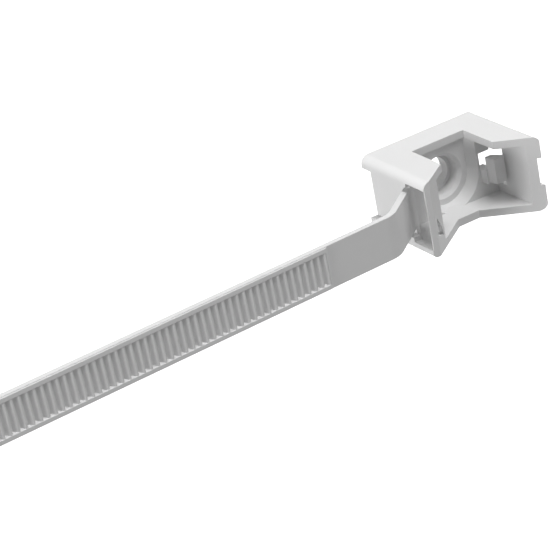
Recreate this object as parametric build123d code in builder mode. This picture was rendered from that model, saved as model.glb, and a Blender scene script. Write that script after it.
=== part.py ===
from build123d import *
from math import cos, radians, sin, tan
import os

os.makedirs("parts", exist_ok=True)

# A screw-fixed cable tie clamp, moulded in one piece.
# The head stands on a wall at z = 0, with the screw hole's axis on z and the strap towards -x.

# Head block, seen from the side
head_width = 13.3
plate = 1.36
strap_end = 11.7
exit_end = 11.05
saddle_floor = 11.67
saddle_left = 2.06
saddle_right = 2.15
left_tip = 18.1
left_tip_flat = 1.3
right_tip = 18.94
full_radius = 1.5
slight_radius = 0.8
web_front = 8.0
web = 1.1

# Screw seat
seat_face = 5.37
seat_floor = 1.2
recess_radius = 5.1
recess_draft = 11.0
screw_bore = 5.5
head_bore = 6.9
rear_recess = 1.8
lead_in = 0.6
notch_half = 5.2
sill = 0.4
core_wall = 1.1

# Wall that carries the strap, with a channel outside it between two cheeks
strap_wall_inner = 8.9
strap_wall = 1.4
channel_width = 9.1
cheek_top = 12.8

# Post across the left tip: it follows the flank, with a tapered slot near one plate
post_reach = 4.0
post_thick = 1.3
post_back = 0.2
post_lip = 0.3
slot_tip = 0.3
slot_tip_back = 2.0
slot_shoulder = 3.2
slot_end = 4.2
slot_rim = 0.5
slot_heel = 3.3
slot_back = 1.65

# Tail exit: window, locking pawl and the wall beside it
exit_wall_inner = 9.13
exit_gate = 7.3
exit_lintel = 10.5
window_width = 5.12
window_start = 6.0
web_end = 8.25
groove_width = 4.8
groove_offset = 0.45
groove_depth = 0.6
pawl_side_gap = 0.31
pawl_gap = 0.43
pawl_back = 0.3
pawl_depth = 2.2
pawl_heel = 1.2
pawl_nose = 0.4
pawl_lead = 0.15
stem = 1.4
stem_width = 2.5

# Strap
root_height = 10.6
root_slope = 40.4
fold_reach = 17.76
fold_radius = 3.4
strap_rise = 2.6
strap_web = 1.1
strap_width = 7.3
neck_length = 13.29
rail_height = 0.32
rail_width = 0.71
rail_inset = 0.13
rail_draft = 0.34
rail_ramp = 0.5
pocket_depth = 0.5
pitch = 1.283
teeth = 86
tooth_lead = 0.27
bite = 0.16
crest = 0.26
crest_drop = 0.05
foot_gap = 0.14
tail_length = 17.0
tail_tip_width = 3.4

inner_half = head_width / 2 - plate
strap_wall_outer = strap_wall_inner + strap_wall
core_half = recess_radius + core_wall
web_rear = web_front - web
above = right_tip + plate
flank_rise = (left_tip - saddle_floor) / (strap_end - left_tip_flat - saddle_left)
post_inner = strap_end - post_reach
post_foot = saddle_floor + (post_inner - saddle_left) * flank_rise - post_thick

# Side view of the head: two flanks fall to the flat saddle floor
with BuildSketch(Plane.XZ) as side_view:
    with BuildLine():
        Polyline(
            (-strap_end, 0),
            (exit_end, 0),
            (exit_end, right_tip),
            (saddle_right, saddle_floor),
            (-saddle_left, saddle_floor),
            (-strap_end + left_tip_flat, left_tip),
            (-strap_end, left_tip),
            close=True,
        )
    make_face()

with BuildPart() as clamp:
    # Core, with the drafted U of the screw recess, open on one side
    extrude(side_view.sketch, amount=inner_half, both=True)
    with BuildSketch(Plane.XY.offset(seat_face)):
        Circle(recess_radius)
        with Locations((0, head_width / 2)):
            Rectangle(2 * recess_radius, head_width)
    extrude(amount=web_front - seat_face, taper=-recess_draft, mode=Mode.SUBTRACT)

    # Side plates, one on each face of the core
    extrude(side_view.sketch.moved(Location((0, -inner_half, 0))), amount=plate)
    extrude(side_view.sketch.moved(Location((0, inner_half, 0))), amount=-plate)
    uprights = clamp.edges().filter_by(Axis.Z).group_by(Axis.X)
    fillet([uprights[0].sort_by(Axis.Y)[-1], uprights[-1].sort_by(Axis.Y)[0]], full_radius)
    uprights = clamp.edges().filter_by(Axis.Z).group_by(Axis.X)
    fillet([uprights[0].sort_by(Axis.Y)[0], uprights[-1].sort_by(Axis.Y)[-1]], slight_radius)

    # Open space between the plates, which leaves the post at the left tip
    root_rise = strap_wall * tan(radians(root_slope))
    with BuildSketch(Plane.XZ):
        with BuildLine():
            Polyline(
                (-strap_wall_inner, web_front),
                (exit_wall_inner, web_front),
                (exit_wall_inner, above),
                (-post_inner, above),
                (-post_inner, post_foot),
                (-strap_end + post_back, left_tip - post_lip),
                (-strap_end + post_back, above),
                (-strap_end - plate, above),
                (-strap_end - plate, cheek_top),
                (-strap_wall_outer, cheek_top),
                (-strap_wall_outer, root_height + root_rise),
                (-strap_wall_inner, root_height),
                close=True,
            )
        make_face()
    extrude(amount=inner_half, both=True, mode=Mode.SUBTRACT)

    # Tapered slot through the post's slope
    with BuildSketch(Plane.XY.offset(post_foot)):
        with BuildLine():
            Polyline(
                (-strap_end + slot_tip_back, -slot_tip),
                (-post_inner - slot_rim, -slot_shoulder),
                (-post_inner - slot_rim, -slot_end),
                (-strap_end + slot_back, -slot_heel),
                close=True,
            )
        make_face()
    extrude(amount=above - post_foot, mode=Mode.SUBTRACT)

    # Channel between the cheeks
    with BuildSketch(Plane.XZ):
        with BuildLine():
            Polyline(
                (-strap_wall_outer, -plate),
                (-strap_wall_outer, cheek_top),
                (-strap_end - plate, cheek_top),
                (-strap_end - plate, -plate),
                close=True,
            )
        make_face()
    extrude(amount=channel_width / 2, both=True, mode=Mode.SUBTRACT)

    # Notch in the plate on the recess's open side, above a low sill
    with BuildSketch(Plane.XZ.offset(-inner_half)):
        with Locations((0, seat_face + sill)):
            Rectangle(2 * notch_half, above, align=(Align.CENTER, Align.MIN))
    extrude(amount=-2 * plate, mode=Mode.SUBTRACT)

    # Back of the head: a recess behind the seat, a core pocket and the strap's way out
    with BuildSketch(Plane.XZ):
        with BuildLine():
            Polyline(
                (-strap_wall_inner, -plate),
                (-strap_wall_inner, web_rear),
                (-core_half, web_rear),
                (-core_half, rear_recess),
                (core_half, rear_recess),
                (core_half, web_rear),
                (exit_end + plate, web_rear),
                (exit_end + plate, -plate),
                close=True,
            )
        make_face()
    extrude(amount=inner_half, both=True, mode=Mode.SUBTRACT)

    # Screw hole with a deep seat for the screw's head
    with Locations((0, 0, seat_face)):
        CounterBoreHole(
            radius=screw_bore / 2,
            counter_bore_radius=head_bore / 2,
            counter_bore_depth=seat_face - rear_recess - seat_floor,
        )
    rim = clamp.edges().filter_by(GeomType.CIRCLE).filter_by(lambda e: abs(e.radius - head_bore / 2) < 0.01)
    chamfer(rim.sort_by(Axis.Z)[-1], lead_in)

    # Window for the tail, and the gate under the lintel of the exit wall
    with BuildSketch(Plane.XY.offset(web_rear)):
        with Locations((window_start, 0)):
            Rectangle(exit_end - window_start, window_width, align=(Align.MIN, Align.CENTER))
    extrude(amount=web, mode=Mode.SUBTRACT)
    with BuildSketch(Plane.XZ):
        with Locations((web_end, web_rear)):
            Rectangle(exit_end, exit_lintel - web_rear, align=(Align.MIN, Align.MIN))
    extrude(amount=exit_gate / 2, both=True, mode=Mode.SUBTRACT)
    with BuildSketch(Plane.XZ.offset(-groove_offset)):
        with Locations((exit_end - groove_depth, exit_lintel)):
            Rectangle(exit_end, above, align=(Align.MIN, Align.MIN))
    extrude(amount=groove_width / 2, both=True, mode=Mode.SUBTRACT)

    # Locking pawl on its stem
    pawl_face = exit_wall_inner - pawl_gap
    pawl_rear = saddle_floor - pawl_depth
    pawl_start = window_start + pawl_back
    with BuildSketch(Plane.XZ):
        with BuildLine():
            Polyline(
                (pawl_start, pawl_rear),
                (pawl_start + pawl_heel, pawl_rear),
                (pawl_face, saddle_floor - pawl_lead - pawl_nose),
                (pawl_face, saddle_floor - pawl_lead),
                (pawl_face - pawl_lead, saddle_floor),
                (pawl_start + pawl_back, saddle_floor),
                close=True,
            )
        make_face()
    extrude(amount=window_width / 2 - pawl_side_gap, both=True)
    with BuildSketch(Plane.XY.offset(web_rear)):
        with Locations((window_start, -window_width / 2)):
            Rectangle(stem, stem_width, align=(Align.MIN, Align.MIN))
    extrude(amount=pawl_rear + pawl_back - web_rear)

    # Strap root and neck: up beside the left flank, over the fold, then outwards
    slope = radians(root_slope)
    rise = radians(strap_rise)
    fold_height = root_height + (fold_reach - strap_wall_inner) * tan(slope)
    mitre = strap_web / cos((slope - rise) / 2)
    middle = (slope + rise) / 2
    neck_end = (-fold_reach - neck_length * cos(rise), fold_height + neck_length * sin(rise))
    with BuildSketch(Plane.XZ):
        with BuildLine():
            Polyline(
                (-strap_wall_inner, root_height),
                (-fold_reach, fold_height),
                neck_end,
                (neck_end[0] - strap_web * sin(rise), neck_end[1] - strap_web * cos(rise)),
                (-fold_reach - mitre * sin(middle), fold_height - mitre * cos(middle)),
                (-strap_wall_inner, root_height - strap_web / cos(slope)),
                close=True,
            )
        make_face()
    extrude(amount=strap_width / 2, both=True)
    fold = clamp.edges().filter_by(Axis.Y).filter_by(lambda e: abs(e.center().X + fold_reach) < strap_web)
    fillet(fold.sort_by(Axis.Z)[-1], fold_radius + strap_web)
    fold = clamp.edges().filter_by(Axis.Y).filter_by(lambda e: abs(e.center().X + fold_reach) < strap_web)
    fillet(fold.sort_by(Axis.Z)[0], fold_radius)

    # Ladder: a flat web, two rails with sloping ends, and a drafted trough between them
    ladder_length = teeth * pitch + 2 * rail_ramp
    ladder_end = neck_length + ladder_length
    along = (-cos(rise), 0, sin(rise))
    fold_front = (-fold_reach, 0, fold_height)
    strap_side = Plane(origin=fold_front, x_dir=along, z_dir=(0, 1, 0))
    with BuildSketch(strap_side):
        with Locations((neck_length, 0)):
            Rectangle(ladder_length, strap_web, align=(Align.MIN, Align.MAX))
    extrude(amount=strap_width / 2, both=True)
    rails_half = strap_width / 2 - rail_inset
    with BuildSketch(strap_side):
        with BuildLine():
            Polyline(
                (neck_length, 0),
                (neck_length + rail_ramp, rail_height),
                (ladder_end - rail_ramp, rail_height),
                (ladder_end, 0),
                close=True,
            )
        make_face()
    extrude(amount=rails_half, both=True)

    floor = rail_height - pocket_depth
    trough = rails_half - rail_width
    trough_start = neck_length + rail_ramp
    trough_place = strap_side.from_local_coords((trough_start, 0, 0))
    trough_face = Plane(origin=trough_place, x_dir=(0, -1, 0), z_dir=along)
    with BuildSketch(trough_face):
        with BuildLine():
            Polyline(
                (-trough, rail_height),
                (-trough + rail_draft, floor),
                (trough - rail_draft, floor),
                (trough, rail_height),
                close=True,
            )
        make_face()
    extrude(amount=teeth * pitch, mode=Mode.SUBTRACT)

    # Teeth, steep towards the head and ramped towards the tail
    with BuildSketch(strap_side):
        with Locations((trough_start - tooth_lead + teeth * pitch / 2, 0)):
            with GridLocations(pitch, 0, teeth, 1):
                Polygon(
                    (-pitch / 2 + foot_gap, floor - crest_drop),
                    (-pitch / 2 + foot_gap + bite, rail_height - crest_drop),
                    (-pitch / 2 + foot_gap + bite + crest, rail_height - crest_drop),
                    (pitch / 2, floor),
                    (pitch / 2, floor - crest_drop),
                    align=None,
                )
    extrude(amount=trough, both=True)

    # Smooth tail that narrows to its tip
    strap_plan = Plane(origin=fold_front, x_dir=along, z_dir=(sin(rise), 0, cos(rise)))
    with BuildSketch(strap_plan):
        with BuildLine():
            Polyline(
                (ladder_end, strap_width / 2),
                (ladder_end + tail_length, tail_tip_width / 2),
                (ladder_end + tail_length, -tail_tip_width / 2),
                (ladder_end, -strap_width / 2),
                close=True,
            )
        make_face()
    extrude(amount=-strap_web)

clamp.part.label = "cable_tie_clamp"
export_step(clamp.part, "parts/cable_tie_clamp.step")
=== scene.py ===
import bpy
import numpy as np
from mathutils import Matrix


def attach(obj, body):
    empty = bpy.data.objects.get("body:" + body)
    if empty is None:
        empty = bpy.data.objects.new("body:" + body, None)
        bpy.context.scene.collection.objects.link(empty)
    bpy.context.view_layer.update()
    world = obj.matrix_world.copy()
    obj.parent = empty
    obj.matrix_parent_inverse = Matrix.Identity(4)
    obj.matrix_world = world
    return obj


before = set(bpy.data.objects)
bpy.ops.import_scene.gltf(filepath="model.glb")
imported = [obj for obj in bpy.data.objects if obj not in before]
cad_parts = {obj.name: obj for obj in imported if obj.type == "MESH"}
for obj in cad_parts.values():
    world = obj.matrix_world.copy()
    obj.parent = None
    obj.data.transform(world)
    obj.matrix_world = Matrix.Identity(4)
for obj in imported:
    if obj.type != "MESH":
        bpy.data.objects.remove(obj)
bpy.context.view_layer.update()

# The camera that took the picture: a long lens high over the strap, a little to the
# notched plate's side, looking along the strap and down at the head.
picture = 550
focal_pixels = 2291.07
half_pixel = 0.5 / picture
sensor_width = 36.0
camera_right = np.array([0.83801, -0.17984, 0.51516])
camera_down = np.array([-0.36578, -0.88573, 0.28581])
camera_forward = np.array([0.40489, -0.42795, -0.80804])
camera_place = np.array([-0.183736, 0.153660, 0.304123])
lens = bpy.data.cameras.new("picture_lens")
lens.sensor_width = sensor_width
lens.lens = sensor_width * focal_pixels / picture
lens.shift_x = -half_pixel
lens.shift_y = half_pixel
lens.clip_start = 0.01
lens.clip_end = 10.0
camera = bpy.data.objects.new("picture_camera", lens)
turn = np.eye(4)
turn[:3, 0] = camera_right
turn[:3, 1] = -camera_down
turn[:3, 2] = -camera_forward
turn[:3, 3] = camera_place
camera.matrix_world = Matrix(turn.tolist())
bpy.context.scene.collection.objects.link(camera)
bpy.context.scene.camera = camera
bpy.context.scene.view_settings.view_transform = "Standard"

# The studio: a white table well below the clamp, which shows clean through the holes
# but throws no light up into them, two low soft lights from the notched plate's side
# and the strap's side, and a weak one high beyond the head.
def table_sheet(half, height, steps=2):
    """A flat square grid: x and y run evenly from -half to half, z is the height."""
    across = np.linspace(-half, half, steps)
    x, y = np.meshgrid(across, across)
    points = np.column_stack([x.ravel(), y.ravel(), np.full(x.size, height)])
    corner = (np.arange(steps - 1)[:, None] * steps + np.arange(steps - 1)).ravel()
    faces = np.column_stack([corner, corner + 1, corner + steps + 1, corner + steps])
    mesh = bpy.data.meshes.new("table")
    mesh.from_pydata(points.tolist(), [], faces.tolist())
    return mesh


white = (1.0, 1.0, 1.0, 1.0)
table_half = 3.0
table_height = -0.09
table = bpy.data.objects.new("table", table_sheet(table_half, table_height))
bpy.context.scene.collection.objects.link(table)
table_paint = bpy.data.materials.new("white_table")
table_paint.use_nodes = True
table_shader = table_paint.node_tree.nodes["Principled BSDF"]
table_shader.inputs["Base Color"].default_value = (0.93, 0.93, 0.93, 1.0)
table_shader.inputs["Roughness"].default_value = 0.9
table_shader.inputs["Emission Color"].default_value = white
table_shader.inputs["Emission Strength"].default_value = 1.0
table.data.materials.append(table_paint)
table.visible_diffuse = False


def soft_light(name, place, size, power):
    """A square light at a place, turned so that it faces the head of the clamp."""
    data = bpy.data.lights.new(name, "AREA")
    data.shape = "SQUARE"
    data.size = size
    data.energy = power
    lamp = bpy.data.objects.new(name, data)
    back = np.array(place, float)
    back = back / np.linalg.norm(back)
    side = np.cross([0.0, 0.0, 1.0], back)
    side = side / np.linalg.norm(side)
    pose = np.eye(4)
    pose[:3, 0] = side
    pose[:3, 1] = np.cross(back, side)
    pose[:3, 2] = back
    pose[:3, 3] = place
    lamp.matrix_world = Matrix(pose.tolist())
    bpy.context.scene.collection.objects.link(lamp)


light_size = 0.4
soft_light("plate_side_light", place=(0.05, 0.95, 0.2), size=light_size, power=6.6)
soft_light("strap_side_light", place=(-0.95, 0.1, 0.08), size=light_size, power=5.5)
soft_light("high_light", place=(0.6, 0.15, 0.78), size=light_size, power=0.75)
sky = bpy.data.worlds.new("studio")
sky.use_nodes = True
sky.node_tree.nodes["Background"].inputs["Color"].default_value = white
sky.node_tree.nodes["Background"].inputs["Strength"].default_value = 0.31
bpy.context.scene.world = sky


# The clamp: head, pawl and ladder strap come out of the mould as one piece of light
# grey nylon. Its skin is satin and very finely grained, with faint cloudy flow in the
# colour and patches of duller and softer shine.
class Socket:
    """Wraps a shader socket, so that + and * on sockets add their Math nodes."""

    def __init__(self, tree, out):
        self.tree = tree
        self.out = out

    def maths(self, operation, left, right):
        node = self.tree.nodes.new("ShaderNodeMath")
        node.operation = operation
        for slot, value in zip(node.inputs, (left, right)):
            if isinstance(value, Socket):
                self.tree.links.new(value.out, slot)
            else:
                slot.default_value = value
        return Socket(self.tree, node.outputs[0])

    def __add__(self, other):
        return self.maths("ADD", self, other)

    def __radd__(self, other):
        return self.maths("ADD", other, self)

    def __mul__(self, other):
        return self.maths("MULTIPLY", self, other)

    def __rmul__(self, other):
        return self.maths("MULTIPLY", other, self)


class Recipe:
    """A material's node tree, with one method that makes any node."""

    def __init__(self, name):
        self.material = bpy.data.materials.new(name)
        self.material.use_nodes = True
        self.tree = self.material.node_tree
        self.shader = self.tree.nodes["Principled BSDF"]

    def node(self, kind, settings, inputs, output=0):
        made = self.tree.nodes.new(kind)
        for key, value in settings.items():
            setattr(made, key, value)
        for key, value in inputs.items():
            self.feed(made.inputs[key], value)
        return Socket(self.tree, made.outputs[output])

    def feed(self, slot, value):
        if isinstance(value, Socket):
            self.tree.links.new(value.out, slot)
        else:
            slot.default_value = value


nylon_light = (0.73, 0.73, 0.73, 1.0)
nylon_dark = (0.67, 0.67, 0.67, 1.0)
nylon = Recipe("moulded_nylon")
skin_point = nylon.node("ShaderNodeTexCoord", {}, {}, "Object")


def cloud(scale, detail, roughness):
    """Soft noise over the skin: scale is in cells a metre, detail in octaves."""
    settings = {"Vector": skin_point, "Scale": scale, "Detail": detail, "Roughness": roughness}
    return nylon.node("ShaderNodeTexNoise", {}, settings)


flow = cloud(scale=110.0, detail=3.0, roughness=0.55)
wear = cloud(scale=420.0, detail=5.0, roughness=0.7)
grain = cloud(scale=5200.0, detail=2.0, roughness=0.6)
flow_share, wear_share, grain_share = 0.5, 0.3, 0.2
blend = flow_share * flow + wear_share * wear + grain_share * grain
mix_factor, mix_first, mix_second, mix_result = 0, 6, 7, 2
greys = {mix_factor: blend, mix_first: nylon_dark, mix_second: nylon_light}
colour = nylon.node("ShaderNodeMix", {"data_type": "RGBA"}, greys, mix_result)
edge_radius = 0.00009
grain_depth = 0.00003
soft_edge = nylon.node("ShaderNodeBevel", {"samples": 6}, {"Radius": edge_radius})
relief = {"Height": grain, "Normal": soft_edge, "Strength": 0.12, "Distance": grain_depth}
skin = nylon.node("ShaderNodeBump", {}, relief)
satin, wear_dulls, flow_dulls = 0.42, 0.16, 0.06
nylon.feed(nylon.shader.inputs["Base Color"], colour)
nylon.feed(nylon.shader.inputs["Roughness"], satin + wear_dulls * wear + flow_dulls * flow)
nylon.feed(nylon.shader.inputs["Normal"], skin)
nylon.shader.inputs["Specular IOR Level"].default_value = 0.45
nylon.shader.inputs["Subsurface Weight"].default_value = 0.05
nylon.shader.inputs["Subsurface Radius"].default_value = (1.0, 1.0, 1.0)
nylon.shader.inputs["Subsurface Scale"].default_value = 0.0003
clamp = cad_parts["cable_tie_clamp"]
for slot in clamp.material_slots:
    slot.material = nylon.material


# The collar behind the seat: it carries the screw's bore a millimetre further towards
# the wall, so that less of the table shows through the hole, as in the picture.
def collar_ring(inner, outer, low, high, steps=96):
    """A square-cut ring round z: x = r cos t, y = r sin t, four corners (r, z) at each t."""
    turn_angle = np.linspace(0.0, 2.0 * np.pi, steps, endpoint=False)
    radius = np.array([inner, outer, outer, inner])
    height = np.array([low, low, high, high])
    x = np.outer(np.cos(turn_angle), radius)
    y = np.outer(np.sin(turn_angle), radius)
    z = np.broadcast_to(height, x.shape)
    points = np.column_stack([x.ravel(), y.ravel(), z.ravel()])
    here = np.arange(steps)[:, None] * radius.size
    ahead = np.roll(here, -1, axis=0)
    corner = np.arange(radius.size)
    after = np.roll(corner, -1)
    faces = np.stack([here + corner, ahead + corner, ahead + after, here + after], axis=-1)
    mesh = bpy.data.meshes.new("bore_collar")
    mesh.from_pydata(points.tolist(), [], faces.reshape(-1, faces.shape[-1]).tolist())
    return mesh


bore_radius = 0.00275
collar_wall = 0.0009
seat_back = 0.0018
collar_length = 0.001
collar_low = seat_back - collar_length
collar_mesh = collar_ring(bore_radius, bore_radius + collar_wall, collar_low, seat_back)
collar_mesh.materials.append(nylon.material)
collar = bpy.data.objects.new("bore_collar", collar_mesh)
bpy.context.scene.collection.objects.link(collar)
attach(collar, "root")
